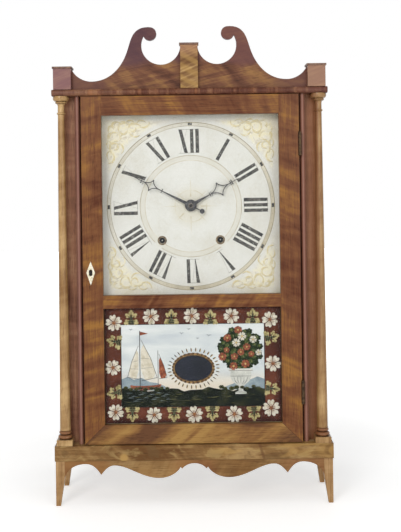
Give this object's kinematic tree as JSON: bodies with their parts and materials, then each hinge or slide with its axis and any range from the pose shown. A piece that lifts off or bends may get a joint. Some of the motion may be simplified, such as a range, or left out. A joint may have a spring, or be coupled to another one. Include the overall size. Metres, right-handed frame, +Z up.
{
  "type": "shelf clock",
  "caption": "Free-standing shelf clock with a scrolled crest, turned columns, a glazed and painted door, moving hands, pendulum, weights and a wooden wheel train.",
  "frame": {"origin": "centre of the footprint on the floor, under the middle of the case", "axes": "+Z up, front of the clock towards -Y, +X to the right seen from the front"},
  "size_m": [0.447, 0.118, 0.7677],
  "materials": {
    "case_veneer": "figured mahogany veneer under aged shellac",
    "door_veneer": "flame mahogany veneer, satin shellac",
    "crest_veneer": "darker mahogany veneer, satin",
    "column_wood": "golden brown turned wood, polished",
    "foot_wood": "golden brown mahogany edge, satin",
    "secondary_pine": "bare aged pine",
    "dial_paint": "cream painted wood with black numerals",
    "clear_glass": "old clear glass",
    "painted_glass": "reverse-painted glass",
    "putty": "hard glazing putty",
    "bone": "polished bone",
    "brass": "aged brass",
    "blued_steel": "dark blued steel",
    "cherry_works": "bare cherry wood",
    "oak_plate": "bare quarter-sawn oak",
    "iron": "rough cast iron",
    "iron_wire": "dull iron wire",
    "cord": "twisted linen cord"
  },
  "bodies": {
    "case": {"front_skirt": "case_veneer", "side_skirts": "foot_wood", "base_front_rail": "case_veneer", "base_side_rails": "case_veneer", "base_deck": "secondary_pine", "column_plinths": "column_wood", "columns": "column_wood", "side_boards": "case_veneer", "jambs": "case_veneer", "back_board": "secondary_pine", "cornice_board": "case_veneer", "crest_board": "crest_veneer", "crest_plinths": "crest_veneer", "crest_caps": "crest_veneer", "weight_partitions": "secondary_pine", "inner_rails": "secondary_pine", "dial_board": "dial_paint", "hinge_case_leaves": "brass", "front_plate": "oak_plate", "back_plate": "oak_plate", "movement_posts": "cherry_works", "bell": "brass", "pulley_blocks": "secondary_pine", "cord_runs": "cord"},
    "door": {"door_left_stile": "door_veneer", "door_right_stile": "door_veneer", "door_top_rail": "door_veneer", "door_middle_rail": "door_veneer", "door_bottom_rail": "door_veneer", "dial_glass": "clear_glass", "tablet_glass": "painted_glass", "glazing_strips": "putty", "escutcheon": "bone", "lock_case": "brass", "hinge_door_leaves": "brass"},
    "lock_bolt": {"lock_bolt": "brass"},
    "minute_arbor": {"centre_wheel": "cherry_works", "minute_hand": "blued_steel"},
    "hour_pipe": {"hour_wheel": "cherry_works", "hour_hand": "blued_steel"},
    "minute_wheel": {"minute_wheel": "cherry_works"},
    "second_arbor": {"second_wheel": "cherry_works"},
    "third_arbor": {"third_wheel": "cherry_works"},
    "escape_arbor": {"escape_wheel": "brass"},
    "going_great": {"going_great_wheel": "cherry_works"},
    "going_barrel": {"going_barrel": "cherry_works"},
    "strike_great": {"strike_great_wheel": "cherry_works"},
    "strike_barrel": {"strike_barrel": "cherry_works"},
    "pin_arbor": {"pin_wheel": "cherry_works"},
    "fly": {"fly": "cherry_works"},
    "hammer": {"hammer": "iron_wire"},
    "verge": {"verge": "iron_wire"},
    "pendulum": {"pendulum_rod": "iron_wire", "pendulum_bob": "brass"},
    "right_weight": {"right_weight": "iron", "right_cord_fall": "cord"},
    "left_weight": {"left_weight": "iron", "left_cord_fall": "cord"},
    "right_pulley": {"right_pulley": "cherry_works"},
    "left_pulley": {"left_pulley": "cherry_works"}
  },
  "joints": [
    {"name": "door_swing", "type": "hinge", "parent": "case", "child": "door", "pos_m": [0.1763, -0.054, 0.377], "axis": [0, 0, 1], "range_deg": [0, 140]},
    {"name": "lock_bolt_slide", "type": "slide", "parent": "door", "child": "lock_bolt", "axis": [-1, 0, 0], "range_m": [0, 0.006]},
    {"name": "minute_hand_turn", "type": "hinge", "parent": "case", "child": "minute_arbor", "pos_m": [0, -0.006, 0.4788], "axis": [0, 1, 0], "continuous": true},
    {"name": "hour_hand_turn", "type": "hinge", "parent": "case", "child": "hour_pipe", "pos_m": [0, -0.02, 0.4788], "axis": [0, 1, 0], "continuous": true},
    {"name": "minute_wheel_turn", "type": "hinge", "parent": "case", "child": "minute_wheel", "pos_m": [0, 0, 0.4548], "axis": [0, 1, 0], "continuous": true},
    {"name": "second_wheel_turn", "type": "hinge", "parent": "case", "child": "second_arbor", "pos_m": [0.02704, 0.02, 0.46264], "axis": [0, 1, 0], "continuous": true},
    {"name": "third_wheel_turn", "type": "hinge", "parent": "case", "child": "third_arbor", "pos_m": [0.01266, 0.02, 0.49345], "axis": [0, 1, 0], "continuous": true},
    {"name": "escape_wheel_turn", "type": "hinge", "parent": "case", "child": "escape_arbor", "pos_m": [0, 0.02, 0.51501], "axis": [0, 1, 0], "continuous": true},
    {"name": "going_great_wheel_turn", "type": "hinge", "parent": "case", "child": "going_great", "pos_m": [0.0475, 0.02, 0.422], "axis": [0, 1, 0], "continuous": true},
    {"name": "pin_wheel_turn", "type": "hinge", "parent": "case", "child": "pin_arbor", "pos_m": [-0.02704, 0.02, 0.46264], "axis": [0, 1, 0], "continuous": true},
    {"name": "strike_great_wheel_turn", "type": "hinge", "parent": "case", "child": "strike_great", "pos_m": [-0.0475, 0.02, 0.422], "axis": [0, 1, 0], "continuous": true},
    {"name": "fly_turn", "type": "hinge", "parent": "case", "child": "fly", "pos_m": [-0.0375, 0.02, 0.4914], "axis": [0, 1, 0], "continuous": true},
    {"name": "hammer_lift", "type": "hinge", "parent": "case", "child": "hammer", "pos_m": [-0.02, 0.02, 0.5538], "axis": [0, 1, 0], "range_deg": [0, 7]},
    {"name": "pendulum_swing", "type": "hinge", "parent": "case", "child": "pendulum", "pos_m": [0, 0.0445, 0.5738], "axis": [0, 1, 0], "range_deg": [-2.5, 2.5]},
    {"name": "verge_rock", "type": "hinge", "parent": "case", "child": "verge", "pos_m": [0, 0.02, 0.53901], "axis": [0, 1, 0], "range_deg": [-5.6, 5.6]},
    {"name": "right_weight_rise", "type": "slide", "parent": "case", "child": "right_weight", "axis": [0, 0, 1], "range_m": [0, 0.35], "deforming": ["right_cord_fall"]},
    {"name": "going_barrel_turn", "type": "hinge", "parent": "case", "child": "going_barrel", "pos_m": [0.0475, 0.02, 0.422], "axis": [0, 1, 0], "range_deg": [-1812, 0]},
    {"name": "right_pulley_turn", "type": "hinge", "parent": "case", "child": "right_pulley", "pos_m": [0.158, 0.021, 0.635], "axis": [0, 1, 0], "range_deg": [-1427, 0]},
    {"name": "left_weight_rise", "type": "slide", "parent": "case", "child": "left_weight", "axis": [0, 0, 1], "range_m": [0, 0.35], "deforming": ["left_cord_fall"]},
    {"name": "strike_barrel_turn", "type": "hinge", "parent": "case", "child": "strike_barrel", "pos_m": [-0.0475, 0.02, 0.422], "axis": [0, 1, 0], "range_deg": [0, 1812]},
    {"name": "left_pulley_turn", "type": "hinge", "parent": "case", "child": "left_pulley", "pos_m": [-0.158, 0.021, 0.635], "axis": [0, 1, 0], "range_deg": [0, 1427]}
  ],
  "couplings": [
    {"joint": "hour_hand_turn", "follows": "minute_hand_turn", "ratio": 0.083333},
    {"joint": "minute_wheel_turn", "follows": "minute_hand_turn", "ratio": -0.33333},
    {"joint": "second_wheel_turn", "follows": "minute_hand_turn", "ratio": -2},
    {"joint": "going_great_wheel_turn", "follows": "minute_hand_turn", "ratio": 0.16667},
    {"joint": "third_wheel_turn", "follows": "minute_hand_turn", "ratio": 15},
    {"joint": "escape_wheel_turn", "follows": "minute_hand_turn", "ratio": -78.75},
    {"joint": "strike_great_wheel_turn", "follows": "pin_wheel_turn", "ratio": -0.083333},
    {"joint": "fly_turn", "follows": "pin_wheel_turn", "ratio": -7.5},
    {"joint": "verge_rock", "follows": "pendulum_swing", "ratio": 2.1518},
    {"joint": "going_barrel_turn", "follows": "right_weight_rise", "rad_per_m": -90.09},
    {"joint": "right_pulley_turn", "follows": "right_weight_rise", "rad_per_m": -70.922},
    {"joint": "strike_barrel_turn", "follows": "left_weight_rise", "rad_per_m": 90.09},
    {"joint": "left_pulley_turn", "follows": "left_weight_rise", "rad_per_m": 70.922}
  ]
}
